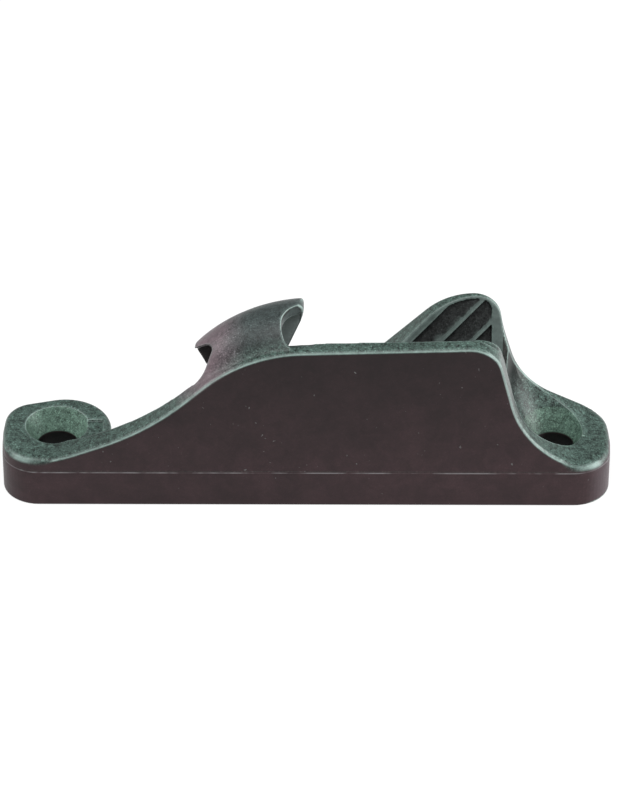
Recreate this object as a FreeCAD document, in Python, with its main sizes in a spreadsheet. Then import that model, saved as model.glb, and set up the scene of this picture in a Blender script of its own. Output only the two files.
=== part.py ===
"""Side-entry jam cleat, cast in one piece.

A plain wall runs along the near side. At its right half it becomes one cheek of a
toothed V-groove; the other cheek is a fin on the far side. Left of the fin the rope
channel is open to the far side, so that the rope can be laid in from there, and a
keeper arches over it from the top of the wall. A screw boss stands at each end.

+X runs along the cleat to the tail end of the rope, +Y to the open side, +Z is up.
The origin is the middle of the base. Sizes are in millimetres.
"""
import FreeCAD, Part

import math
import os

from FreeCAD import Placement, Rotation, Vector

doc = FreeCAD.newDocument("jam_cleat")

# Driving dimensions: name, value, what it is.
DIMENSIONS = [
    ("overall_length", 82.5, "end to end"),
    ("overall_width", 14.7, "across the base"),
    ("slab_height", 5.4, "base plate up to the parting line"),
    ("right_end_radius", 5.0, "corners of the right end"),
    ("left_end_radius", 4.2, "far corner of the left end"),
    ("parting_ledge", 0.12, "step at the parting line"),
    ("base_edge_break", 0.12, "bevel of the bottom edge"),
    ("screw_spacing", 67.4, "between the two screws"),
    ("screw_line", 0.8, "screws to the far side of the middle"),
    ("screw_bore", 5.5, "clearance hole for a 5 mm screw"),
    ("sink_width", 8.7, "countersink at its mouth"),
    ("sink_floor", 4.4, "height of the countersink's foot"),
    ("left_boss_top", 7.5, "height of the left boss"),
    ("left_boss_radius", 6.55, "left boss, on its open side"),
    ("left_boss_side", 7.45, "from the left screw to the boss's inner side"),
    ("left_boss_flank", 15.0, "degrees, the boss's far side to the cleat's length"),
    ("boss_edge", 1.0, "rounding of the bosses' top edges"),
    ("waist_radius", 3.0, "bite between the left boss and the channel"),
    ("waist_flank", 60.0, "degrees, the waist's open flank to the cleat's length"),
    ("key_slot_width", 2.9, "shallow slot beside the left screw"),
    ("key_slot_depth", 0.4, "shallow slot beside the left screw"),
    ("key_slot_reach", 6.3, "from the screw to the end of the slot"),
    ("wall_height", 25.9, "top of the near wall"),
    ("ramp_foot", -33.4, "where the near wall's ramp starts"),
    ("ramp_bend", -21.3, "where the ramp steepens"),
    ("ramp_bend_height", 12.3, "height of that bend"),
    ("ramp_head", -8.0, "where the ramp meets the level top"),
    ("fall_head", 25.1, "where the level top ends"),
    ("fall_bend", 29.0, "lower bend of the wall's fall"),
    ("fall_bend_height", 10.5, "height of that bend"),
    ("fall_foot", 36.0, "where the fall meets the right boss"),
    ("wall_thickness", 2.25, "near wall at its top"),
    ("wall_root", 3.5, "near wall at the channel floor"),
    ("right_boss_top", 6.5, "height of the right boss"),
    ("wall_edge", 0.55, "rounding along the wall's front edge"),
    ("channel_floor", 7.0, "height of the open channel's floor"),
    ("channel_root", 2.6, "rounding between wall and floor"),
    ("channel_lip", 0.8, "rounding of the floor's open edge"),
    ("fin_height", 25.3, "top of the far cheek"),
    ("fin_foot", 0.5, "where the far cheek's ramp starts"),
    ("fin_ramp_head", 18.6, "where that ramp meets the crest"),
    ("fin_crest_end", 25.7, "where the crest ends"),
    ("fin_fall_bend", 26.5, "upper bend of the cheek's fall"),
    ("fin_fall_bend_height", 20.0, "height of that bend"),
    ("fin_fall_foot", 29.2, "lower bend of the cheek's fall"),
    ("fin_fall_foot_height", 10.9, "height of that bend"),
    ("fin_strip", 38.0, "where the fall meets the right boss"),
    ("fin_edge", 0.5, "rounding along the far cheek's top"),
    ("groove_mouth", 10.1, "V-groove's width at the top, at its entry"),
    ("groove_tail_mouth", 10.6, "V-groove's width at the top, at its tail"),
    ("groove_floor_width", 2.8, "V-groove's width at its foot"),
    ("groove_floor", 9.0, "height of the V-groove's foot"),
    ("groove_entry", 12.0, "where the V-groove has its full form"),
    ("groove_exit", 24.0, "where the teeth's part of the V-groove ends"),
    ("groove_run_out", 34.0, "where the V-groove has left the cheeks"),
    ("bowl_radius", 7.2, "bowl over the right screw, where it meets the groove"),
    ("groove_entry_line", -0.15, "groove's middle at the entry"),
    ("groove_exit_line", 1.25, "groove's middle at the exit"),
    ("tooth_pitch", 3.14, "from tooth to tooth"),
    ("tooth_depth", 0.9, "depth of the saw teeth"),
    ("tooth_lean", 44.0, "degrees, teeth to the base"),
    ("tooth_rim", 0.45, "plain rim above the teeth"),
    ("tooth_end", 25.4, "where the teeth stop at the tail"),
    ("keeper_left", -14.95, "left beak of the keeper"),
    ("keeper_right", -0.35, "right beak of the keeper"),
    ("keeper_sweep", 21.6, "radius of the keeper's crest, seen from the side"),
    ("keeper_axis_x", 1.11, "axis of that sweep"),
    ("keeper_axis_z", 7.03, "axis of that sweep"),
    ("keeper_arch", 6.0, "outer radius of the keeper's arch"),
    ("keeper_line", -1.2, "middle of the keeper's arch"),
    ("keeper_wall", 1.7, "thickness of the keeper's arch"),
    ("mouth_depth", 3.0, "how far to the open side the left opening goes"),
    ("keeper_foot", 14.4, "lowest point of the keeper's free edge"),
    ("keeper_tip", 28.0, "height of the right beak's tip"),
    ("keeper_neck", 9.4, "width of the keeper's stem"),
    ("neck_left", -12.75, "left side of the stem at its narrowest"),
    ("mouth_slope", 36.0, "degrees, slope of the left opening"),
    ("right_bite", 3.1, "radius of the bite that frees the right beak"),
]

sheet = doc.addObject("Spreadsheet::Sheet", "Dimensions")
for row, (name, value, note) in enumerate(DIMENSIONS, start=1):
    sheet.set(f"A{row}", name)
    sheet.set(f"B{row}", str(value))
    sheet.setAlias(f"B{row}", name)
    sheet.set(f"C{row}", note)
doc.recompute()


class Size:
    """Reads a driving dimension from the sheet by its name."""

    def __getattr__(self, name):
        return float(getattr(sheet, name))


size = Size()


def bind(feature, prop, formula):
    """Ties a property to the sheet; the formula's names are sheet names."""
    feature.setExpression(prop, formula)


def rounded_outline(corners, closed=True):
    """Lines and tangent arcs through corners (a, b, radius) of a flat outline."""
    points = [Vector(a, b, 0) for a, b, _ in corners]
    count = len(corners)
    runs = []
    for index, (_, _, radius) in enumerate(corners):
        here = points[index]
        end_of_open = not closed and index in (0, count - 1)
        if radius <= 0 or end_of_open:
            runs.append((here, None, here))
            continue
        back = (points[index - 1] - here).normalize()
        ahead = (points[(index + 1) % count] - here).normalize()
        half = back.getAngle(ahead) / 2
        middle = (back + ahead).normalize()
        trim = radius / math.tan(half)
        crown = here + middle * (radius / math.sin(half) - radius)
        runs.append((here + back * trim, crown, here + ahead * trim))
    edges = []
    for index, (start, crown, stop) in enumerate(runs):
        if crown is not None:
            edges.append(Part.Arc(start, crown, stop))
        if not closed and index == count - 1:
            break
        following = runs[(index + 1) % count][0]
        if stop.distanceToPoint(following) > 1e-6:
            edges.append(Part.LineSegment(stop, following))
    return edges


def inset(corners, distance):
    """The same outline, drawn clockwise, moved inwards by a distance."""
    points = [Vector(a, b, 0) for a, b, _ in corners]
    moved = []
    for index, (here, (_, _, radius)) in enumerate(zip(points, corners)):
        before = (here - points[index - 1]).normalize()
        after = (points[(index + 1) % len(points)] - here).normalize()
        first = Vector(before.y, -before.x, 0)
        second = Vector(after.y, -after.x, 0)
        corner = here + (first + second) * (distance / (1 + first.dot(second)))
        convex = before.cross(after).z < 0
        change = -distance if convex else distance
        moved.append((corner.x, corner.y, max(radius + change, 0.3) if radius > 0 else 0))
    return moved


def origin_plane(body, role):
    """The body's own origin plane of that role."""
    return next(item for item in body.Origin.OriginFeatures if item.Role == role)


def new_body(label):
    body = doc.addObject("PartDesign::Body", label)
    body.Label = label
    return body


def sketch_on(body, name, role, edges, shift=0.0):
    """A sketch on one of the body's planes, moved along that plane's normal."""
    sketch = body.newObject("Sketcher::SketchObject", name)
    sketch.AttachmentSupport = (origin_plane(body, role), [""])
    sketch.MapMode = "FlatFace"
    sketch.AttachmentOffset = Placement(Vector(0, 0, shift), Rotation())
    sketch.addGeometry(edges, False)
    return sketch


def pad(body, sketch, name, length, backwards=False):
    feature = body.newObject("PartDesign::Pad", name)
    feature.Profile = sketch
    bind(feature, "Length", length)
    feature.Reversed = backwards
    sketch.Visibility = False
    doc.recompute()
    return feature


def edges_where(shape, test):
    """Names of the shape's edges for which the test holds."""
    return [f"Edge{i}" for i, edge in enumerate(shape.Edges, start=1) if test(edge)]


def round_edges(body, base, name, radius, test):
    feature = body.newObject("PartDesign::Fillet", name)
    feature.Base = (base, edges_where(base.Shape, test))
    bind(feature, "Radius", radius)
    doc.recompute()
    return feature


# Small details of the form that nothing else follows.
SCREW_SHIFT = -0.1
CROWN = 0.4
CROWN_RADIUS = 12.0
TOOTH_SHIFT = 0.79
RUN_OUT = 1.2
WAIST_START = 0.45
WAIST_SHOULDER = 5.0

# Places that follow from the driving dimensions.
half_length = size.overall_length / 2
half_width = size.overall_width / 2
near_face = -half_width
left_screw = SCREW_SHIFT - size.screw_spacing / 2
right_screw = SCREW_SHIFT + size.screw_spacing / 2

BURIED = 3.0
CLEAR = 20.0


class Plan:
    """Corners of the plan view, moved inwards by a margin."""

    def __init__(self, margin):
        self.half = half_width - margin
        self.end_x = half_length - margin
        self.end_radius = size.right_end_radius - margin
        self.far_radius = size.left_end_radius - margin
        self.boss_radius = size.left_boss_radius - margin
        self.boss_side = left_screw + size.left_boss_side - margin
        self.bite = size.waist_radius + margin
        flank = math.radians(size.waist_flank)
        trim = self.bite / math.tan((math.pi / 2 - flank) / 2)
        self.bite_corner = size.screw_line - WAIST_START - trim
        self.waist_end = self.boss_side + (self.half - self.bite_corner) / math.tan(flank)
        slope = math.radians(size.left_boss_flank)
        self.boss_corner = size.screw_line + self.boss_radius / math.tan((math.pi / 2 - slope) / 2)
        self.end_corner = self.boss_corner - (self.boss_side + self.end_x - CROWN) * math.tan(slope)

    def left_end(self):
        """The left end's corners, slightly crowned, from the far side to the near one."""
        return [
            (CROWN - self.end_x, self.end_corner, self.far_radius),
            (-self.end_x, 0, CROWN_RADIUS),
            (CROWN - self.end_x, -self.half, self.end_radius),
        ]

    def right_end(self):
        """The right end's corners, slightly crowned, from the near side to the far one."""
        return [
            (self.end_x - CROWN, -self.half, self.end_radius),
            (self.end_x, 0, CROWN_RADIUS),
            (self.end_x - CROWN, self.half, self.end_radius),
        ]

    def waist(self):
        """From the channel's open side round the waist."""
        return [(self.waist_end, self.half, WAIST_SHOULDER), (self.boss_side, self.bite_corner, self.bite)]

    def whole(self):
        return rounded_outline(self.left_end() + self.right_end() + self.waist() + self.boss())

    def boss(self):
        """The left boss's round side, as one corner."""
        return [(self.boss_side, self.boss_corner, self.boss_radius)]


# Base plate, up to the parting line.
slab = new_body("slab")
slab_plan = sketch_on(slab, "SlabPlan", "XY_Plane", Plan(0.0).whole())
slab_pad = pad(slab, slab_plan, "SlabPad", "Dimensions.slab_height")
bottom_edge = slab.newObject("PartDesign::Chamfer", "SlabBottomEdge")
bottom_edge.Base = (slab_pad, edges_where(slab_pad.Shape, lambda edge: edge.BoundBox.ZMax < 1e-6))
bind(bottom_edge, "Size", "Dimensions.base_edge_break")
doc.recompute()

# Upper plan: what stands on the plate stays inside this outline.
envelope = new_body("envelope")
plan = Plan(size.parting_ledge)
envelope_plan = sketch_on(envelope, "EnvelopePlan", "XY_Plane", plan.whole())
pad(envelope, envelope_plan, "EnvelopePad", "2 * Dimensions.wall_height")


def near_profile(base):
    """Side view of the near wall: left boss, long ramp, level top, steep fall, right boss."""
    top = size.wall_height
    return [
        (-half_length - 2, base, 0),
        (-half_length - 2, size.left_boss_top - RUN_OUT, 0),
        (size.ramp_foot, size.left_boss_top, 19.0),
        (size.ramp_bend, size.ramp_bend_height, 36.0),
        (size.ramp_head, top - 1.0, 20.0),
        (size.fall_head, top, 4.5),
        (size.fall_bend, size.fall_bend_height, 14.0),
        (size.fall_foot, size.right_boss_top, 6.5),
        (half_length + 2, size.right_boss_top - RUN_OUT, 0),
        (half_length + 2, base, 0),
    ]


def far_profile(base):
    """Side view of the far cheek: a ramp, a rounded crest and a sweep to the right boss."""
    start = size.fin_foot - 6.5
    return [
        (start, base, 0),
        (start, size.channel_floor - 1.0, 0),
        (size.fin_foot, size.channel_floor, 6.0),
        (size.fin_ramp_head, size.fin_height - 0.4, 9.4),
        (size.fin_crest_end, size.fin_height, 3.8),
        (size.fin_fall_bend, size.fin_fall_bend_height, 24.0),
        (size.fin_fall_foot, size.fin_fall_foot_height, 11.0),
        (size.fin_strip, size.right_boss_top, 6.0),
        (half_length + 2, size.right_boss_top - RUN_OUT, 0),
        (half_length + 2, base, 0),
    ]


def common(label, *shapes):
    feature = doc.addObject("Part::MultiCommon", label)
    feature.Shapes = list(shapes)
    doc.recompute()
    return feature


def fuse(label, *shapes):
    feature = doc.addObject("Part::MultiFuse", label)
    feature.Shapes = list(shapes)
    doc.recompute()
    return feature


def cut(label, base, tool):
    feature = doc.addObject("Part::Cut", label)
    feature.Base = base
    feature.Tool = tool
    doc.recompute()
    return feature


# Near wall: its side view, and the section that gives it a draft and a rounded foot.
near_wall = new_body("near_wall")
near_sketch = sketch_on(
    near_wall, "NearWallSide", "XZ_Plane", rounded_outline(near_profile(BURIED)), plan.half
)
near_pad = pad(
    near_wall, near_sketch, "NearWallPad",
    "Dimensions.overall_width / 2 + Dimensions.groove_exit_line", backwards=True,
)
round_edges(
    near_wall, near_pad, "NearWallFrontEdge", "Dimensions.wall_edge",
    lambda edge: edge.BoundBox.YMax < 1e-3 - plan.half and edge.BoundBox.ZMax > BURIED + 1
    and edge.BoundBox.XLength > 1e-3,
)

draft = (size.wall_root - size.wall_thickness) / (size.wall_height - size.channel_floor)
wall_section = new_body("wall_section")
wall_sketch = sketch_on(wall_section, "WallSection", "YZ_Plane", rounded_outline([
    (near_face, BURIED, 0),
    (near_face, size.wall_height + CLEAR, 0),
    (near_face + size.wall_thickness - draft * CLEAR, size.wall_height + CLEAR, 0),
    (near_face + size.wall_root, size.channel_floor, size.channel_root),
    (half_width, size.channel_floor, 0),
    (half_width, BURIED, 0),
]), -half_length - 2)
pad(wall_section, wall_sketch, "WallSectionPad", "Dimensions.overall_length + 4")
wall = common("wall", near_wall, wall_section)


def plate(label, corners, height, radius_name, test):
    """A raised part of the plate with a rounded top edge."""
    body = new_body(label)
    outline = sketch_on(body, label + "_plan", "XY_Plane", rounded_outline(corners))
    block = pad(body, outline, label + "_pad", "Dimensions." + height)
    top = getattr(size, height)
    round_edges(
        body, block, label + "_edge", "Dimensions." + radius_name,
        lambda edge: edge.BoundBox.ZMin > top - 1e-3 and test(edge.BoundBox),
    )
    return body


# Left boss, right boss and the floor of the open channel.
left_boss = plate(
    "left_boss",
    plan.left_end() + [(plan.boss_side, -plan.half, 0)] + plan.boss(),
    "left_boss_top", "boss_edge", lambda box: True,
)
right_boss = plate(
    "right_boss",
    [(size.groove_entry, plan.half, 0), (size.groove_entry, -plan.half, 0)] + plan.right_end(),
    "right_boss_top", "boss_edge", lambda box: box.XLength > 1e-3,
)
channel = plate(
    "channel",
    [(left_screw, 0, 0), (left_screw, -plan.half, 0), (size.groove_entry, -plan.half, 0),
     (size.groove_entry, plan.half, 0)] + plan.waist() + [(plan.boss_side, 0, 0)],
    "channel_floor", "channel_lip",
    lambda box: box.YMax > size.screw_line - size.waist_radius and box.XMin > plan.boss_side + 1e-3
    and box.XLength > 1e-3,
)

# Cheeks: the fin's side view across the whole width, cut back by the wall's on the near side.
fin = new_body("fin")
fin_sketch = sketch_on(fin, "FinSide", "XZ_Plane", rounded_outline(far_profile(BURIED)), -plan.half)
fin_pad = pad(fin, fin_sketch, "FinPad", "Dimensions.overall_width / 2 - Dimensions.groove_entry_line")
round_edges(
    fin, fin_pad, "FinOuterEdge", "Dimensions.fin_edge",
    lambda edge: edge.BoundBox.YMin > plan.half - 1e-3 and edge.BoundBox.XLength > 1e-3
    and edge.BoundBox.ZMax > size.slab_height,
)
cheek_block = new_body("cheek_block")
cheek_sketch = sketch_on(
    cheek_block, "CheekSide", "XZ_Plane", rounded_outline(far_profile(BURIED)), -half_width
)
pad(cheek_block, cheek_sketch, "CheekPad", "Dimensions.overall_width")
near_cheek = common("near_cheek", near_wall, cheek_block)

raised = fuse("raised", wall, left_boss, right_boss, channel, near_cheek, fin)
upper = common("upper", raised, envelope)
casting = fuse("casting", slab, upper)


def groove_section(name, station, middle, mouth, floor_width, floor, corner):
    """Section of the rope groove at one station along X."""
    lean = (mouth - floor_width) / 2 / (size.wall_height - floor)
    top = size.wall_height + CLEAR
    reach = mouth / 2 + lean * CLEAR
    sketch = doc.addObject("Sketcher::SketchObject", name)
    sketch.Placement = Placement(
        Vector(station, 0, 0), Rotation(Vector(0, 1, 0), Vector(0, 0, 1), Vector(1, 0, 0), "XYZ")
    )
    sketch.addGeometry(rounded_outline([
        (middle - reach, top, 0),
        (middle - floor_width / 2, floor, corner),
        (middle + floor_width / 2, floor, corner),
        (middle + reach, top, 0),
    ]), False)
    return sketch


def loft(label, sections, ruled=False):
    feature = doc.addObject("Part::Loft", label)
    feature.Sections = sections
    feature.Solid = True
    feature.Ruled = ruled
    doc.recompute()
    return feature


channel_width = size.overall_width + 1.5 - size.wall_root
channel_mouth = channel_width + 2 * (size.wall_root - size.wall_thickness)
channel_line = near_face + size.wall_root + channel_width / 2
entry_section = groove_section(
    "EntrySection", -2.5, channel_line, channel_mouth, channel_width, size.channel_floor, 2.0
)


def groove_at(station):
    """Middle and mouth of the V-groove, which runs straight through the cheeks."""
    share = (station - size.groove_entry) / (size.groove_exit - size.groove_entry)
    middle = size.groove_entry_line + share * (size.groove_exit_line - size.groove_entry_line)
    return middle, size.groove_mouth + share * (size.groove_tail_mouth - size.groove_mouth)


mouth_section, tail_section = (
    groove_section(
        name, station, *groove_at(station), size.groove_floor_width, size.groove_floor, 1.2
    )
    for name, station in [("MouthSection", size.groove_entry), ("TailSection", size.groove_run_out)]
)
groove_entry_cut = loft("groove_entry_cut", [entry_section, mouth_section], ruled=True)
groove_cut = loft("groove_cut", [mouth_section, tail_section], ruled=True)

# Bowl: from the right screw's countersink it rises like a spoon into the groove's tail.
bowl_side = doc.addObject("Sketcher::SketchObject", "BowlSide")
bowl_side.Placement = Placement(
    Vector(right_screw, size.screw_line, 0), Rotation(Vector(1, 0, 0), 90)
)
bowl_side.addGeometry(rounded_outline([
    (0, size.sink_floor, 0),
    (size.screw_bore / 2, size.sink_floor, 0),
    (size.sink_width / 2 + 0.1, size.sink_floor + 3.3, 4.0),
    (size.bowl_radius, 11.6, 8.0),
    (size.bowl_radius + 2.4, size.wall_height + CLEAR, 0),
    (0, size.wall_height + CLEAR, 0),
]), False)
bowl = doc.addObject("Part::Revolution", "bowl")
bowl.Source = bowl_side
bowl.Base = Vector(right_screw, size.screw_line, 0)
bowl.Axis = Vector(0, 0, 1)
bowl.Angle = 360
bowl.Solid = True
doc.recompute()
rope_groove = fuse("rope_groove", groove_entry_cut, groove_cut, bowl)
grooved = cut("grooved", casting, rope_groove)

# Teeth: saw-tooth prisms let into both walls of the groove, under a plain rim.
def unit(vector):
    return Vector(vector).normalize()


def tooth_cutter(label, side):
    """Saw-tooth prism lying in one wall of the groove; side is -1 near, +1 far."""
    run = size.groove_exit - size.groove_entry
    mouth = (size.groove_mouth + size.groove_tail_mouth) / 2
    flare = (size.groove_tail_mouth - size.groove_mouth) / 4
    shift = size.groove_exit_line - size.groove_entry_line + side * flare
    along = unit(Vector(run, shift, 0))
    lean = (mouth - size.groove_floor_width) / 2 / (size.wall_height - size.groove_floor)
    up = unit(Vector(0, side * lean, 1) - along * (side * lean * along.y))
    angle = math.radians(size.tooth_lean)
    tooth = unit(along * math.cos(angle) + up * math.sin(angle))
    across = unit(along * math.sin(angle) - up * math.cos(angle))
    outward = across.cross(tooth)
    if outward.y * side < 0:
        outward = outward * -1
    middle_x = (size.groove_entry + size.groove_exit) / 2
    middle_y = (size.groove_entry_line + size.groove_exit_line) / 2
    middle_z = (size.wall_height + size.groove_floor) / 2
    wall_y = middle_y + side * (mouth + size.groove_floor_width) / 4
    teeth = 5
    corners = []
    for index in range(teeth):
        start = (index - teeth / 2) * size.tooth_pitch + TOOTH_SHIFT
        corners.append((start + 0.15, size.tooth_depth, 0))
        corners.append((start + size.tooth_pitch - 0.35, 0.0, 0))
        corners.append((start + size.tooth_pitch, 0.0, 0))
    first, last = -teeth / 2 * size.tooth_pitch + TOOTH_SHIFT, corners[-1][0]
    corners = [(first, 0.0, 0)] + corners + [(last, -1.0, 0), (first, -1.0, 0)]
    sketch = doc.addObject("Sketcher::SketchObject", label + "_saw")
    sketch.Placement = Placement(
        Vector(middle_x, wall_y, middle_z), Rotation(across, outward, across.cross(outward), "XYZ")
    )
    sketch.addGeometry(rounded_outline(corners), False)
    feature = doc.addObject("Part::Extrusion", label)
    feature.Base = sketch
    feature.DirMode = "Normal"
    feature.LengthFwd = 30.0
    feature.Symmetric = True
    feature.Solid = True
    doc.recompute()
    return feature


# Where teeth may be: inside the cheek's side view, less the plain rim.
tooth_window = new_body("tooth_window")
tooth_area = far_profile(BURIED)[:4] + [
    (size.tooth_end, size.fin_height, 2.5), (size.tooth_end, BURIED, 0)
]
window_sketch = sketch_on(
    tooth_window, "ToothWindowSide", "XZ_Plane",
    rounded_outline(inset(tooth_area, size.tooth_rim)), -half_width,
)
pad(tooth_window, window_sketch, "ToothWindowPad", "Dimensions.overall_width")
far_teeth = common("far_teeth", tooth_cutter("far_saw", 1), tooth_window)
near_teeth = common("near_teeth", tooth_cutter("near_saw", -1), tooth_window)
toothed = cut("toothed", cut("far_toothed", grooved, far_teeth), near_teeth)


# Screw holes: a clearance bore and a cone for the head, carried on upwards.
def screw_hole(label, station):
    sink_height = size.left_boss_top - size.sink_floor
    flare = (size.sink_width - size.screw_bore) / 2 / sink_height
    bore = doc.addObject("Part::Cylinder", label + "_bore")
    bind(bore, "Radius", "Dimensions.screw_bore / 2")
    bore.Height = size.sink_floor + 2.0
    bore.Placement.Base = Vector(station, size.screw_line, -1.0)
    sink = doc.addObject("Part::Cone", label + "_sink")
    bind(sink, "Radius1", "Dimensions.screw_bore / 2")
    sink.Radius2 = size.screw_bore / 2 + flare * 2.4 * sink_height
    sink.Height = 2.4 * sink_height
    sink.Placement.Base = Vector(station, size.screw_line, size.sink_floor)
    return fuse(label, bore, sink)


left_hole = screw_hole("left_hole", left_screw)
right_hole = screw_hole("right_hole", right_screw)
key_slot = doc.addObject("Part::Box", "key_slot")
bind(key_slot, "Length", "Dimensions.key_slot_reach")
bind(key_slot, "Width", "Dimensions.key_slot_width")
key_slot.Height = size.key_slot_depth + 2.0
key_slot.Placement.Base = Vector(
    left_screw, size.screw_line - size.key_slot_width / 2 - 0.2,
    size.left_boss_top - size.key_slot_depth,
)
holes = fuse("holes", left_hole, right_hole, key_slot)
bored = cut("bored", toothed, holes)


# Keeper: a hook section swept on an arc over the channel, cut to its side view and bitten
# from both ends, so that two beaks stand out past the stem.
keeper_sweep = new_body("keeper_sweep")
crest = size.keeper_sweep
outer_near = near_face + 0.4
outer_far = size.keeper_line + size.keeper_arch
inner_near = near_face + size.wall_thickness
inner_far = outer_far - size.keeper_wall
shoulder = crest - 3.8
root = crest - 14.0
keeper_section = sketch_on(keeper_sweep, "KeeperSection", "YZ_Plane", rounded_outline([
    (outer_near, root, 0),
    (outer_near, shoulder, 0.8),
    (outer_near + 3.8 / math.tan(math.radians(50)), crest, 5.0),
    (outer_far, crest, size.keeper_arch - 0.01),
    (outer_far, root, 0),
    (inner_far, root, 0),
    (inner_far, crest - size.keeper_wall, 4.1),
    (inner_near, crest - size.keeper_wall, 4.1),
    (inner_near, root, 0),
]))
keeper_section.AttachmentOffset = Placement(
    Vector(0, size.keeper_axis_z, size.keeper_axis_x), Rotation()
)
turn = keeper_sweep.newObject("PartDesign::Revolution", "KeeperTurn")
turn.Profile = keeper_section
turn.ReferenceAxis = (keeper_section, ["H_Axis"])
turn.Angle = 70.0
turn.Reversed = True
doc.recompute()

left, right, foot = size.keeper_left, size.keeper_right, size.keeper_foot
keeper_side = new_body("keeper_side")
keeper_outline = sketch_on(keeper_side, "KeeperSide", "XZ_Plane", rounded_outline([
    (left, size.wall_height + CLEAR, 0),
    (left, foot + 4.0, 1.0),
    (left + 2.4, foot, 2.0),
    (right - 3.0, foot + 2.2, 4.0),
    (right, foot + 9.7, 5.0),
    (right, size.keeper_tip, 1.3),
    (right - 3.0, size.keeper_tip + 1.3, 0),
    (right - 3.0, size.wall_height + CLEAR, 0),
]), -half_width)
pad(keeper_side, keeper_outline, "KeeperSidePad", "Dimensions.overall_width")


def bite(label, radius_name, x, y):
    feature = doc.addObject("Part::Cylinder", label)
    bind(feature, "Radius", "Dimensions." + radius_name)
    feature.Height = size.wall_height + CLEAR
    feature.Placement.Base = Vector(x, y, 0)
    return feature


# The left opening is cut on a slope, so that its rim is thin.
slope = math.radians(size.mouth_slope)
left_mouth = doc.addObject("Sketcher::SketchObject", "LeftMouth")
left_mouth.Placement = Placement(
    Vector(0, -9.3 * math.cos(slope), 9.3 * math.sin(slope)),
    Rotation(Vector(1, 0, 0), Vector(0, math.sin(slope), math.cos(slope)),
             Vector(0, -math.cos(slope), math.sin(slope)), "XYZ"),
)
left_mouth.addGeometry(rounded_outline([
    (-18.0, 15.8, 0),
    (-12.15, 17.55, 0.6),
    (-13.95, 12.7, 5.0),
    (-17.0, 10.4, 0),
    (-18.0, 10.4, 0),
]), False)
mouth_run = doc.addObject("Part::Extrusion", "mouth_run")
mouth_run.Base = left_mouth
mouth_run.DirMode = "Normal"
mouth_run.LengthFwd = CLEAR
mouth_run.LengthRev = CLEAR
mouth_run.Solid = True
mouth_room = doc.addObject("Part::Box", "mouth_room")
mouth_room.Length, mouth_room.Width, mouth_room.Height = 2 * CLEAR, 2 * CLEAR, 2 * CLEAR
mouth_room.Placement.Base = Vector(size.keeper_left - CLEAR, size.mouth_depth - 2 * CLEAR, 0)
left_bite = common("left_bite", mouth_run, mouth_room)
neck_right = size.neck_left + size.keeper_neck
right_bite = bite("right_bite", "right_bite", neck_right + size.right_bite, -3.8)
keeper = cut("keeper", common("keeper_blank", keeper_sweep, keeper_side),
             fuse("bites", left_bite, right_bite))
result = fuse("whole", bored, keeper)

for item in doc.Objects:
    assert "Invalid" not in item.State and "Error" not in item.State, item.Name
    if hasattr(item, "Shape"):
        assert not item.Shape.isNull() and item.Shape.isValid(), item.Name
assert len(result.Shape.Solids) == 1

os.makedirs("parts", exist_ok=True)
result.Label = "cleat_body"
result.Shape.exportStep("parts/cleat_body.step")
box = result.Shape.BoundBox
print(result.Label, result.Shape.isValid(), len(result.Shape.Solids), round(result.Shape.Volume, 1),
      [round(v, 2) for v in (box.XMin, box.XMax, box.YMin, box.YMax, box.ZMin, box.ZMax)])
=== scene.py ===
# %% [markdown]
# # A jam cleat for a thin line
# The real thing is one small casting of dark anodised aluminium. A rope is laid in from the far
# side, slips under the keeper that arches over the channel, and is jammed in a toothed groove.
# The CAD model gives the exact form. Blender adds what a drawing leaves out: the soft edges of a
# casting, its anodised skin, and a studio to see it in.

import math

import bmesh
import bpy
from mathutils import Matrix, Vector


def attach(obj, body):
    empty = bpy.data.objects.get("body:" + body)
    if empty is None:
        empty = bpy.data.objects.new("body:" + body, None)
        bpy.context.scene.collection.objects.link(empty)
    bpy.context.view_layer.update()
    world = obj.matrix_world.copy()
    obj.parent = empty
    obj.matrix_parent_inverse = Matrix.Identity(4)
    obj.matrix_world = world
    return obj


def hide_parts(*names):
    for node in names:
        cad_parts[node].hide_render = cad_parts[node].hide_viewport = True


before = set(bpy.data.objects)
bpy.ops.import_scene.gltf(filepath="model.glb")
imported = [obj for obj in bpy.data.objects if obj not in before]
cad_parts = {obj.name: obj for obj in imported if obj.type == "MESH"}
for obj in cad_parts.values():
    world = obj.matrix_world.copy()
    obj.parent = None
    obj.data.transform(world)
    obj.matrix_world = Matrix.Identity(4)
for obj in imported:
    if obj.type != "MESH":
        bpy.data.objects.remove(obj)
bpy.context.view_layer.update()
MM = 0.001


# %% [markdown]
# ## The casting
# Sharp CAD edges never look cast: metal that has filled a mould, and has been tumbled and
# anodised, has a small radius everywhere. A Bevel modifier stumbles over the long thin triangles
# that a CAD export has. A voxel remesh works on any closed form: it rebuilds the skin from an
# even grid, and a few rounds of smoothing then take off every edge by about the same amount.

# %% Copy the CAD mesh and merge its loose triangles
MERGE_GAP = 0.0005 * MM

cad_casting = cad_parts["cleat_body"]
casting_mesh = bpy.data.meshes.new("casting")
bm = bmesh.new()
bm.from_mesh(cad_casting.data)
bmesh.ops.remove_doubles(bm, verts=bm.verts, dist=MERGE_GAP)
open_edges = [edge for edge in bm.edges if not edge.is_manifold]
bm.to_mesh(casting_mesh)
bm.free()
casting = bpy.data.objects.new("casting", casting_mesh)
bpy.context.scene.collection.objects.link(casting)
print("CAD triangles:", len(casting_mesh.polygons), "open edges:", len(open_edges))

# %% Rebuild the skin on an even grid
VOXEL = 0.13 * MM


def bake_modifiers(piece):
    """Gives the piece the mesh that its modifiers make, and removes them."""
    graph = bpy.context.evaluated_depsgraph_get()
    made = bpy.data.meshes.new_from_object(piece.evaluated_get(graph))
    piece.modifiers.clear()
    piece.data = made


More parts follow.
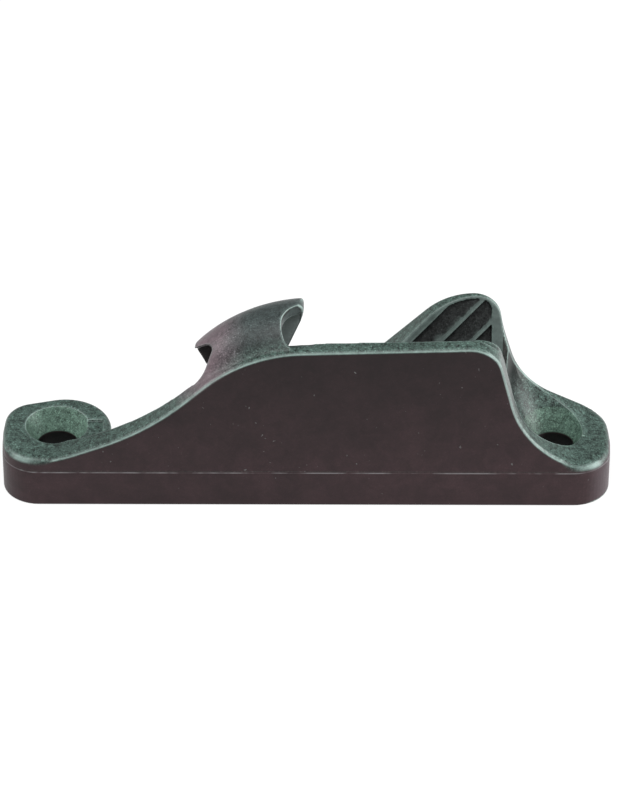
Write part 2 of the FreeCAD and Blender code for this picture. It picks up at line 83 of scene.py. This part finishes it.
remesh = casting.modifiers.new("skin", "REMESH")
remesh.mode = "VOXEL"
remesh.voxel_size = VOXEL
bake_modifiers(casting)
print("points on the grid:", len(casting.data.vertices))

# %% [markdown]
# ## Where the casting is softer
# The keeper's beaks are rubbed by the rope and end in thin, rounded lips, its foot flows out of
# the wall's top with no edge, and the two near corners of the base are well rounded. One round
# of smoothing more for the whole piece would blunt the teeth as well. A vertex group holds how
# much each point takes part, and a Smooth modifier that reads the group rounds only there.

# %% Soft places: the middle and the reach of each, in mm
KEEPER_LIPS = [
    ((-14.8, 3.0, 18.5), 2.6), ((-14.6, 1.0, 20.0), 2.2), ((-14.0, -2.5, 21.0), 2.4),
    ((-13.2, -4.6, 21.0), 2.2), ((-12.8, -4.4, 19.6), 2.0),
    ((-0.4, 3.1, 26.0), 3.0), ((-0.6, 0.9, 27.0), 2.2), ((-1.6, -3.2, 26.6), 2.6),
]
KEEPER_FOOT = [
    ((-13.0, -5.6, 20.1), 1.5), ((-12.0, -5.7, 21.0), 1.5), ((-11.0, -5.8, 21.7), 1.5),
    ((-10.0, -5.9, 22.3), 1.5), ((-9.0, -6.0, 22.9), 1.5), ((-8.0, -6.1, 23.4), 1.5),
    ((-7.0, -6.1, 23.8), 1.5), ((-6.0, -6.2, 24.2), 1.5), ((-5.0, -6.2, 24.45), 1.5),
    ((-4.0, -6.1, 24.7), 1.5), ((-3.2, -5.6, 24.9), 1.7), ((-2.6, -5.0, 25.1), 1.7),
    ((-1.4, -4.9, 25.2), 1.7), ((-0.2, -4.9, 25.2), 1.4),
]
NEAR_CORNERS = [
    ((-39.6, -6.2, 7.3), 2.4), ((-37.6, -7.0, 7.4), 2.2), ((-35.8, -7.2, 7.5), 1.8),
    ((39.4, -6.2, 6.3), 2.4), ((37.6, -7.0, 6.5), 2.2), ((35.8, -7.2, 6.8), 1.8),
]
MOUTH_END = [((-14.2, -4.7, 19.0), 1.4), ((-13.7, -4.8, 20.2), 1.5)]
FRONT_EDGE = -6.75
AHEAD_OF_ALL = -9.0
FADES_IN_OVER = 0.5
FULL_FROM = 0.5


def soft_group(piece, name, places, front):
    """Group of the points near the places; behind the line called front it fades in."""
    group = piece.vertex_groups.new(name=name)
    lowest = min(z - reach for (_, _, z), reach in places)
    left = min(x - reach for (x, _, _), reach in places)
    right = max(x + reach for (x, _, _), reach in places)
    spots = [(Vector(centre), reach) for centre, reach in places]
    found = 0
    for point in piece.data.vertices:
        here = point.co / MM
        if here.z < lowest or not left < here.x < right:
            continue
        share = max(1.0 - (here - centre).length / reach for centre, reach in spots)
        behind = (here.y - front) / FADES_IN_OVER
        weight = min(1.0, share / FULL_FROM, behind)
        if weight > 0:
            group.add([point.index], weight, "REPLACE")
            found += 1
    print("points in the group", name + ":", found)


soft_group(casting, "lips", KEEPER_LIPS, FRONT_EDGE)
soft_group(casting, "foot", KEEPER_FOOT, FRONT_EDGE)
soft_group(casting, "corners", NEAR_CORNERS, AHEAD_OF_ALL)
soft_group(casting, "mouth end", MOUTH_END, FRONT_EDGE)

# %% Soften the edges; the group without a name is the whole piece
ROUNDS = {"": 4, "lips": 80, "foot": 60, "corners": 120, "mouth end": 110}

for group, rounds in ROUNDS.items():
    soften = casting.modifiers.new("soft " + (group or "edges"), "SMOOTH")
    soften.factor = 0.5
    soften.iterations = rounds
    soften.vertex_group = group
bake_modifiers(casting)


def triangles(piece):
    return sum(len(face.vertices) - 2 for face in piece.data.polygons)


print("triangles on the grid:", triangles(casting))

# %% Thin the mesh out: flat faces need few triangles, the teeth and the rims keep theirs
MOST_TRIANGLES = 190_000

thin = casting.modifiers.new("fewer faces", "DECIMATE")
thin.ratio = min(1.0, MOST_TRIANGLES / triangles(casting))
bake_modifiers(casting)
for face in casting.data.polygons:
    face.use_smooth = True
print("triangles kept:", triangles(casting))

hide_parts("cleat_body")
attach(casting, "root")

# %% [markdown]
# ## Worn and highlighted edges
# Anodising is thin on a sharp edge and wears through there first, so edges look pale, and the
# pale also paints the highlight that a rounded edge catches. They could be painted by hand, but
# the
# mesh itself tells where they are: where faces fold away from each other over a short distance,
# the skin is strongly bent. That number is stored on each point, once as it is for the crests and
# once spread out for the teeth's flanks, and the material reads both.

# %% How strongly the skin is bent outwards, per millimetre
EVEN_OUT_ROUNDS = 2
SPREAD_ROUNDS = 9
LEAST_AREA = 1e-12


def even_out(points, layer, rounds):
    """Gives each point the mean of itself and its neighbours, several times."""
    for _ in range(rounds):
        evened = [
            (point[layer] + sum(edge.other_vert(point)[layer] for edge in point.link_edges))
            / (1 + len(point.link_edges))
            for point in points
        ]
        for point, value in zip(points, evened):
            point[layer] = value


bm = bmesh.new()
bm.from_mesh(casting.data)
bend = bm.verts.layers.float.new("bend")
wide = bm.verts.layers.float.new("wide bend")
for point in bm.verts:
    fold = sum(edge.calc_face_angle_signed(0.0) * edge.calc_length() for edge in point.link_edges)
    around = sum(face.calc_area() for face in point.link_faces)
    point[bend] = MM * fold / max(around, LEAST_AREA)
even_out(bm.verts, bend, EVEN_OUT_ROUNDS)
for point in bm.verts:
    point[wide] = point[bend]
even_out(bm.verts, wide, SPREAD_ROUNDS)
print("bend, per mm: least", round(min(p[bend] for p in bm.verts), 2),
      "most", round(max(p[bend] for p in bm.verts), 2))
bm.to_mesh(casting.data)
bm.free()

# %% [markdown]
# ## The anodised skin
# Dark anodising on cast aluminium doesn't look one colour. Faces that stand upright look brown to
# purple, and faces that look up catch a green sheen, which is painted into their colour here. The
# metal's grain shows as fine speckles.
# A painted picture would need a flat layout of the skin. Masks made of where a point lies and
# which way it faces need none, and stay sharp at any distance. Each helper below makes one node
# or a few, so that a mask reads like a sentence.

# %% Helpers for nodes
skin = bpy.data.materials.new("anodised_casting")
skin.use_nodes = True
nodes, links = skin.node_tree.nodes, skin.node_tree.links
shader = nodes["Principled BSDF"]


def node(kind, **values):
    """A new node with some of its settings changed."""
    made = nodes.new(kind)
    for name, value in values.items():
        setattr(made, name, value)
    return made


def maths(operation, *sources):
    """One arithmetic step on sockets or plain numbers."""
    made = node("ShaderNodeMath", operation=operation)
    for index, source in enumerate(sources):
        if isinstance(source, (int, float)):
            made.inputs[index].default_value = source
        else:
            links.new(source, made.inputs[index])
    return made.outputs[0]


def times(*sources):
    """The product of masks and plain numbers."""
    product = sources[0]
    for source in sources[1:]:
        product = maths("MULTIPLY", product, source)
    return product


def larger(first, second):
    """Either mask: the larger of the two."""
    return maths("MAXIMUM", first, second)


def opposite(mask):
    """The mask turned inside out."""
    return maths("SUBTRACT", 1.0, mask)


# %% Helpers for colours and noise
def ramp(source, low, high, to_low=0.0, to_high=1.0, kind="LINEAR"):
    """The source's value, stretched from low..high to to_low..to_high and held there."""
    made = node("ShaderNodeMapRange", interpolation_type=kind)
    made.inputs["From Min"].default_value = low
    made.inputs["From Max"].default_value = high
    made.inputs["To Min"].default_value = to_low
    made.inputs["To Max"].default_value = to_high
    links.new(source, made.inputs["Value"])
    return made.outputs["Result"]


def mix(factor, first, second, blend_type="MIX"):
    """Blends two colours; each may be a socket or four numbers."""
    made = node("ShaderNodeMix", data_type="RGBA", blend_type=blend_type)
    for name, source in (("Factor", factor), ("A", first), ("B", second)):
        if isinstance(source, (int, float, tuple)):
            made.inputs[name].default_value = source
        else:
            links.new(source, made.inputs[name])
    return made.outputs["Result"]


def dimmed(colour, share):
    """The colour times a share: below 1 it darkens, above 1 it brightens."""
    return mix(1.0, colour, share, "MULTIPLY")


def noise(scale, detail=2.0, distortion=0.0):
    """Noise on the object's own coordinates; scale is in patches per metre."""
    made = node("ShaderNodeTexNoise")
    made.inputs["Scale"].default_value = scale
    made.inputs["Detail"].default_value = detail
    made.inputs["Distortion"].default_value = distortion
    links.new(place.outputs["Object"], made.inputs["Vector"])
    return made.outputs["Fac"]


# %% Where a point of the skin lies, and which way it faces
place = node("ShaderNodeTexCoord")
geometry = node("ShaderNodeNewGeometry")
spot = node("ShaderNodeSeparateXYZ")
links.new(place.outputs["Object"], spot.inputs[0])
facing = node("ShaderNodeSeparateXYZ")
links.new(geometry.outputs["Normal"], facing.inputs[0])


def along(axis, low, high, to_low=0.0, to_high=1.0, kind="LINEAR"):
    """A ramp between two places on an axis, in mm."""
    return ramp(spot.outputs[axis], low * MM, high * MM, to_low, to_high, kind)


def faces(axis, low, high, to_low=0.0, to_high=1.0, kind="LINEAR"):
    """A ramp over how far the skin faces along an axis, from -1 to 1."""
    return ramp(facing.outputs[axis], low, high, to_low, to_high, kind)


def past(axis, line):
    """1 past this line on an axis, in mm, and 0 before it."""
    return maths("GREATER_THAN", spot.outputs[axis], line * MM)


def beyond(axis, distance):
    """1 farther than this from the middle, in mm, on either side."""
    return maths("GREATER_THAN", maths("ABSOLUTE", spot.outputs[axis]), distance * MM)


def inside(box):
    """1 in the box, given in mm as lowest and highest corner, and 0 outside."""
    found = 1.0
    for axis, low, high in zip("XYZ", *box):
        middle, half = (low + high) / 2 * MM, (high - low) / 2 * MM
        way = maths("ABSOLUTE", maths("SUBTRACT", spot.outputs[axis], middle))
        found = times(found, maths("LESS_THAN", way, half))
    return found


print("nodes that say where and which way:", len(nodes))

# %% Main tones: brown on upright faces, a painted green sheen on faces that look up
BROWN = (0.0235, 0.0120, 0.0138, 1)
GREEN_SHEEN = (0.032, 0.053, 0.045, 1)
LOW_DOWN, HIGH_UP = 6.0, 24.0
PARTING_HEIGHT = 5.4
OUTER_Y, OUTER_X = 6.2, 39.2

# At the line where the mould's halves met there is a hair's ledge, which stays brown, without the
# painted sheen.
off_line = maths("ABSOLUTE", maths("SUBTRACT", spot.outputs["Z"], PARTING_HEIGHT * MM))
outside = larger(beyond("Y", OUTER_Y), beyond("X", OUTER_X))
near_line = times(outside, ramp(off_line, 0.12 * MM, 0.25 * MM, 1.0, 0.0))
looks_up = times(faces("Z", 0.05, 0.5, kind="SMOOTHSTEP"), opposite(near_line))
patches = ramp(noise(480.0, 3.0, 0.6), 0.35, 0.65, 0.88, 1.16)
# Painted shade: the brown is lighter low down, darker higher up and lighter to the right, as the
# light falls; the patches are random tone.
shade = times(along("Z", LOW_DOWN, HIGH_UP, 1.1, 0.5), along("X", 5.0, 40.0, 1.0, 1.2), patches)
tone = mix(looks_up, dimmed(BROWN, shade), GREEN_SHEEN)
print("nodes so far:", len(nodes))

# %% The keeper is greyer, with painted shade where it falls towards the near side
ON_KEEPER = ((-17.0, -6.6, 14.0), (1.0, 9.0, 30.0))
KEEPER_GREY = (0.030, 0.040, 0.039, 1)

keeper = times(inside(ON_KEEPER), looks_up, along("Y", -6.5, -5.0))
near_facing_shade = faces("Y", -0.8, -0.35, 0.62, 1.0)
tone = mix(keeper, tone, dimmed(KEEPER_GREY, near_facing_shade))
print("nodes so far:", len(nodes))

# %% Screw holes: painted light makes the cones a brighter green, and painted shade makes the bores below them nearly black
COUNTERSINK_LIT = (0.075, 0.125, 0.098, 1)
BORE_SHADE = (0.0045, 0.0055, 0.0050, 1)
SCREWS = (-33.8, 33.6)
SCREW_LINE = 0.8
CONE_ENDS = (4.25, 4.4)
BORE_REACH = 2.9

cones = 0.0
for screw in SCREWS:
    off_x = maths("POWER", maths("SUBTRACT", spot.outputs["X"], screw * MM), 2.0)
    off_y = maths("POWER", maths("SUBTRACT", spot.outputs["Y"], SCREW_LINE * MM), 2.0)
    away = maths("SQRT", maths("ADD", off_x, off_y))
    near_screw = ramp(away, CONE_ENDS[0] * MM, CONE_ENDS[1] * MM, 1.0, 0.0)
    cone = times(near_screw, faces("Z", 0.1, 0.3), faces("Z", 0.8, 0.95, 1.0, 0.0))
    tone = mix(cone, tone, COUNTERSINK_LIT)
    cones = larger(cones, cone)
    bore_shade = times(maths("LESS_THAN", away, BORE_REACH * MM), faces("Z", 0.0, 0.1, 1.0, 0.0))
    tone = mix(bore_shade, tone, BORE_SHADE)
print("nodes so far:", len(nodes))

# %% Painted light: pale mauve on the keeper's left, where light from the left falls
MAUVE_LIGHT = (0.105, 0.075, 0.086, 1)
ABOVE_RIBBON = 14.0

mauve_light = times(
    along("X", -17.5, -14.0), along("X", -13.0, -7.5, 1.0, 0.0, "SMOOTHSTEP"),
    past("Z", ABOVE_RIBBON), looks_up, ramp(noise(420.0), 0.35, 0.65, 0.7, 1.0),
)
tone = mix(mauve_light, tone, MAUVE_LIGHT)
print("nodes so far:", len(nodes))

# %% [markdown]
# ## Places with painted shade and painted light
# The spaces between the teeth and the deep end of the groove get painted shade, so they are
# darker than the lamps alone make them. The keeper's two mouths get painted light, so they are
# paler. A box in which a mask holds is enough to tell such a place apart, and a ramp at the box's
# open side hides where it ends.

# %% Painted shade between the teeth
CHEEK_BOX = ((9.0, 0.0, 12.0), (26.5, 9.0, 27.0))
CHEEK_SHADE = (0.0115, 0.0130, 0.0128, 1)

cheek = times(inside(CHEEK_BOX), faces("Y", -0.5, -0.3, 1.0, 0.0))
tone = mix(cheek, tone, CHEEK_SHADE)
print("nodes so far:", len(nodes))

# %% Painted light in the keeper's mouths: only skin that faces down and towards the near side
MOUTH_BOX = ((-6.0, -3.6, 17.0), (1.0, 6.0, 30.0))
MOUTH_CUT_LIGHT = (0.055, 0.068, 0.066, 1)
MOUTH_INNER_LIGHT = (0.320, 0.380, 0.370, 1)
LEFT_MOUTH_BOX = ((-16.0, -4.5, 14.0), (-8.0, 6.0, 26.0))
LEFT_MOUTH_LIGHT = (0.065, 0.058, 0.060, 1)

under = times(faces("Z", 0.0, 0.1, 1.0, 0.0), faces("Y", -0.1, 0.3, 1.0, 0.0))
right_mouth_light = times(inside(MOUTH_BOX), under, along("X", -6.0, -4.0))
tone = mix(right_mouth_light, tone, mix(faces("X", 0.05, 0.25), MOUTH_INNER_LIGHT, MOUTH_CUT_LIGHT))
left_mouth_light = times(inside(LEFT_MOUTH_BOX), under, along("X", -11.0, -8.5, 1.0, 0.0))
tone = mix(left_mouth_light, tone, LEFT_MOUTH_LIGHT)
print("nodes so far:", len(nodes))

# %% Painted light on the right end, which faces the right lamp: mauve low down, grey higher up
END_LIT_MAUVE = (0.085, 0.068, 0.076, 1)
END_LIT_GREY = (0.125, 0.143, 0.137, 1)
END_STARTS = 20.0

to_the_right = times(faces("X", 0.35, 0.9, 0.0, 0.6), past("X", END_STARTS))
upright = faces("Z", 0.3, 0.6, 1.0, 0.0)
end_light = mix(along("Z", 7.0, 12.0), END_LIT_MAUVE, END_LIT_GREY)
tone = mix(times(to_the_right, upright), tone, end_light)
print("nodes so far:", len(nodes))

# %% Painted shade at the deep end of the groove, between the wall and the fin
HOLLOW_BOX = ((25.0, -5.6, 5.6), (34.0, 6.0, 18.0))
HOLLOW_SHADE = (0.008, 0.011, 0.0105, 1)

hollow_shade = times(
    along("X", 26.0, 28.0), along("X", 28.0, 31.0, 0.85, 0.0), inside(HOLLOW_BOX),
    along("Z", 13.0, 18.0, 1.0, 0.0),
)
tone = mix(hollow_shade, tone, HOLLOW_SHADE)
print("nodes so far:", len(nodes))

# %% [markdown]
# ## Grain, dust and the mould's line
# The grain of cast metal takes the dye unevenly. Two noises, fine and coarse, make the speckles,
# a third paints single bright glints on the grains, and a very wide one lets the whole drift a
# little. Upright faces were against the mould and are smoother. A thin pale line with gaps, a
# painted highlight on a hair's ledge, runs round the base where the two halves of the mould met.

# %% Speckles: strong on top, faint on the upright faces
fine = noise(5200.0)
coarse = noise(1500.0, 3.0)
drift = noise(130.0, 1.0)
# Painted glints: single bright grains, strong on faces that look up.
sparkle = ramp(noise(3400.0, 1.0), 0.60, 0.70, 0.0, 1.5)
speckle = maths("ADD", ramp(fine, 0.35, 0.68, -0.5, 0.9), ramp(coarse, 0.35, 0.65, -0.45, 0.5))
speckle = maths("ADD", speckle, sparkle)
calm = larger(larger(mauve_light, times(keeper, 0.45)), times(cones, 0.4))
strength = ramp(maths("SUBTRACT", looks_up, calm), 0.0, 1.0, 0.12, 1.15)
speckle = maths("ADD", times(speckle, strength), 1.0)
speckle = times(speckle, ramp(drift, 0.3, 0.7, 0.86, 1.14))
colour = dimmed(tone, speckle)
print("nodes so far:", len(nodes))

# %% Dust: rare light specks
DUST = (0.11, 0.11, 0.11, 1)

dust = times(ramp(noise(2300.0, 0.0), 0.81, 0.86), ramp(noise(240.0), 0.52, 0.62))
colour = mix(dust, colour, DUST)
print("nodes so far:", len(nodes))

# %% The line where the two halves of the mould met, pale with a painted highlight
PARTING_HALF = 0.11 * MM
PARTING_HIGHLIGHT = (0.19, 0.185, 0.19, 1)

line = ramp(off_line, 0.3 * PARTING_HALF, PARTING_HALF, 1.0, 0.0)
broken = ramp(noise(330.0, 3.0), 0.42, 0.60, 0.08, 0.75)
from_middle = maths("ABSOLUTE", spot.outputs["X"])
at_ends = ramp(from_middle, 36.5 * MM, 40.0 * MM, 0.0, 0.5)
colour = mix(times(line, outside, larger(broken, at_ends)), colour, PARTING_HIGHLIGHT)
print("nodes so far:", len(nodes))

# %% [markdown]
# ## Pale edges: wear and painted highlights
# The stored bend shows the material where an edge is. The pale is wear and a painted highlight,
# so it isn't the same on every edge: the ones that slant towards the near side or face right are
# the palest, the rims of the keeper's mouths hardly at all. So the bend is multiplied by masks,
# and a last noise breaks it up as rubbing does.

# %% Edges, and a painted highlight on the two near corners of the base
PALE_WEAR_AND_HIGHLIGHT = (0.30, 0.40, 0.37, 1)

bent_skin = node("ShaderNodeAttribute", attribute_name="bend")
# Painted highlight: edges are palest where they turn between up and sideways, and where they face
# the right lamp.
turned = faces("Z", 0.2, 0.42)
slanting = times(turned, faces("Z", 0.5, 0.8, 1.0, 0.1))
sideways = larger(slanting, faces("X", 0.3, 0.6, 0.0, 0.8))
edge = times(ramp(bent_skin.outputs["Fac"], 0.55, 1.2), sideways)
corner = times(
    ramp(from_middle, 36.0 * MM, 38.5 * MM, 0.0, 0.95), along("Y", -6.0, -5.0, 1.0, 0.0),
    turned, faces("Z", 0.75, 0.95, 1.0, 0.0),
)
edge = larger(edge, corner)
print("nodes so far:", len(nodes))

# %% The teeth's crests, and a soft painted highlight down their flanks
flank = node("ShaderNodeAttribute", attribute_name="wide bend")
ridge = larger(ramp(bent_skin.outputs["Fac"], 0.08, 1.0, 0.0, 0.5),
               ramp(flank.outputs["Fac"], 0.03, 0.42, 0.0, 0.36))
edge = larger(times(edge, opposite(cheek)), times(cheek, ridge))
print("nodes so far:", len(nodes))

# %% Less on the rims of the keeper's mouths
RIGHT_RIM = ((-6.0, -6.2, 17.0), (1.0, 6.0, 30.0))
PALE_SHARE = 0.85

right_rim = times(inside(RIGHT_RIM), along("Z", 25.6, 27.2, 0.78, 0.0))
left_rim = times(inside(ON_KEEPER), along("X", -12.5, -11.0, 0.8, 0.0))
faded = times(larger(right_rim, left_rim), along("Y", -6.2, -5.2))
patchy = ramp(noise(900.0, 3.0), 0.3, 0.7, 0.6, 1.0)
colour = mix(times(edge, opposite(faded), patchy, PALE_SHARE), colour, PALE_WEAR_AND_HIGHLIGHT)
links.new(colour, shader.inputs["Base Color"])
print("nodes so far:", len(nodes))

# %% [markdown]
# ## The shine
# An anodised layer is a kind of glass on the metal, so the shader isn't metallic: the dye hides
# the metal below. The grain is real relief, a few hundredths of a millimetre deep, too small for
# the mesh, so a bump makes it. It also breaks the light's reflections, as the roughness does.

# %% Grain that the light catches, and the shine
GRAIN_DEPTH = 0.05 * MM
PLAIN_SHINE = 0.3

bump = node("ShaderNodeBump")
bump.inputs["Distance"].default_value = GRAIN_DEPTH
links.new(ramp(looks_up, 0.0, 1.0, 0.06, 0.45), bump.inputs["Strength"])
links.new(maths("ADD", fine, times(coarse, 1.5)), bump.inputs["Height"])
links.new(bump.outputs["Normal"], shader.inputs["Normal"])
links.new(ramp(fine, 0.3, 0.7, 0.36, 0.5), shader.inputs["Roughness"])
shader.inputs["Metallic"].default_value = 0.0
shine = times(ramp(looks_up, 0.0, 1.0, 0.24, 0.36), opposite(hollow_shade))
shader.inputs["Specular IOR Level"].default_value = PLAIN_SHINE
links.new(shine, shader.inputs["Specular IOR Level"])
casting.data.materials.clear()
casting.data.materials.append(skin)
print("skin nodes:", len(nodes))

# %% [markdown]
# ## Floor and light
# The cleat stands on a white sheet that has no far edge. A sheet lit white would throw its light
# back at the dark casting, so it only looks white to the camera and in reflections, and is a
# plain light grey to the lamps. Two soft lights stand at the sides and one hangs over the cleat,
# and the pale surroundings fill the rest, so edges shine softly.

# %% Floor
FLOOR_REACH = 3.0

floor_mesh = bpy.data.meshes.new("floor")
bm = bmesh.new()
bmesh.ops.create_grid(bm, x_segments=1, y_segments=1, size=FLOOR_REACH)
bm.to_mesh(floor_mesh)
bm.free()
floor = bpy.data.objects.new("floor", floor_mesh)
bpy.context.scene.collection.objects.link(floor)
print("the sheet is", 2 * FLOOR_REACH, "m wide")

# %% The sheet's white
SHEET_GREY = (0.7, 0.7, 0.7, 1)
SHEET_WHITE = (1.0, 1.0, 1.0, 1)
GLOW_SHARE = 0.84
COVERED_X, COVERED_Y = 37, 5

paper = bpy.data.materials.new("white_paper")
paper.use_nodes = True
nodes, links = paper.node_tree.nodes, paper.node_tree.links
nodes.clear()
rays = node("ShaderNodeLightPath")
seen = larger(rays.outputs["Is Camera Ray"], rays.outputs["Is Glossy Ray"])
lit = node("ShaderNodeBsdfDiffuse")
links.new(mix(seen, SHEET_GREY, SHEET_WHITE), lit.inputs["Color"])
glow = node("ShaderNodeEmission")
glow.inputs["Strength"].default_value = 1.0

# Under the casting the sheet only shows through the screw holes, and gets no light there.
place = node("ShaderNodeTexCoord")
spot = node("ShaderNodeSeparateXYZ")
links.new(place.outputs["Object"], spot.inputs[0])
bare = times(seen, larger(beyond("X", COVERED_X), beyond("Y", COVERED_Y)))
blend = node("ShaderNodeMixShader")
links.new(times(bare, GLOW_SHARE), blend.inputs[0])
links.new(lit.outputs[0], blend.inputs[1])
links.new(glow.outputs[0], blend.inputs[2])
sheet_out = node("ShaderNodeOutputMaterial")
links.new(blend.outputs[0], sheet_out.inputs[0])
floor.data.materials.append(paper)
print("sheet nodes:", len(nodes))

# %% Surroundings: white to the camera, dimmer as a light
WORLD_LEVEL = 0.42

world = bpy.data.worlds.new("studio")
bpy.context.scene.world = world
world.use_nodes = True
nodes, links = world.node_tree.nodes, world.node_tree.links
nodes.clear()
rays = node("ShaderNodeLightPath")
sky = node("ShaderNodeBackground")
links.new(ramp(rays.outputs["Is Camera Ray"], 0.0, 1.0, WORLD_LEVEL, 1.0), sky.inputs["Strength"])
sky_out = node("ShaderNodeOutputWorld")
links.new(sky.outputs[0], sky_out.inputs[0])
print("surroundings light at", WORLD_LEVEL)

# %% Soft lights: name, place and size in metres, watts
LIGHTS = (
    ("overhead", (-0.05, -0.30, 0.65), (0.7, 0.5), 4.5),
    ("right", (0.68, -0.02, 0.24), (0.4, 0.4), 6.0),
    ("left", (-0.65, 0.10, 0.40), (0.4, 0.4), 2.5),
)
AIM = Vector((0.0, 0.0, 0.012))

for name, stand, size, power in LIGHTS:
    lamp = bpy.data.lights.new(name, "AREA")
    lamp.shape = "RECTANGLE"
    lamp.size, lamp.size_y = size
    lamp.energy = power
    holder = bpy.data.objects.new(name, lamp)
    bpy.context.scene.collection.objects.link(holder)
    holder.location = stand
    holder.rotation_euler = (AIM - Vector(stand)).to_track_quat("-Z", "Y").to_euler()
    print(name, "at", stand, "W:", power)

# %% [markdown]
# ## Camera
# The photograph was taken with a long lens from the front, well above the deck. The numbers come
# from fitting one camera to the base's straight edge, the screw holes and the cheeks. A camera
# can't be judged by one of them alone: a longer lens from farther away gives the same size.

# %% Camera at the photograph's angle
CAMERA_RISE = math.radians(36.0)
CAMERA_ROLL = math.radians(0.14)
CAMERA_WAY = 0.6
LOOK_AT = Vector((0.35 * MM, -0.2 * MM, 12.4 * MM))
LENS = 200.3
SENSOR = 36.0
SEES_FROM, SEES_TO = 0.05, 10.0

camera = bpy.data.objects.new("camera", bpy.data.cameras.new("camera"))
bpy.context.scene.collection.objects.link(camera)
back = Vector((0.0, -math.cos(CAMERA_RISE), math.sin(CAMERA_RISE)))
camera.location = LOOK_AT + back * CAMERA_WAY
camera.rotation_euler = (-back).to_track_quat("-Z", "Y").to_matrix().to_4x4().to_euler()
camera.rotation_euler.rotate_axis("Z", CAMERA_ROLL)
camera.data.lens = LENS
camera.data.sensor_width = SENSOR
camera.data.clip_start = SEES_FROM
camera.data.clip_end = SEES_TO
bpy.context.scene.camera = camera
bpy.context.scene.view_settings.view_transform = "Standard"
print("camera at", [round(value, 3) for value in camera.location])
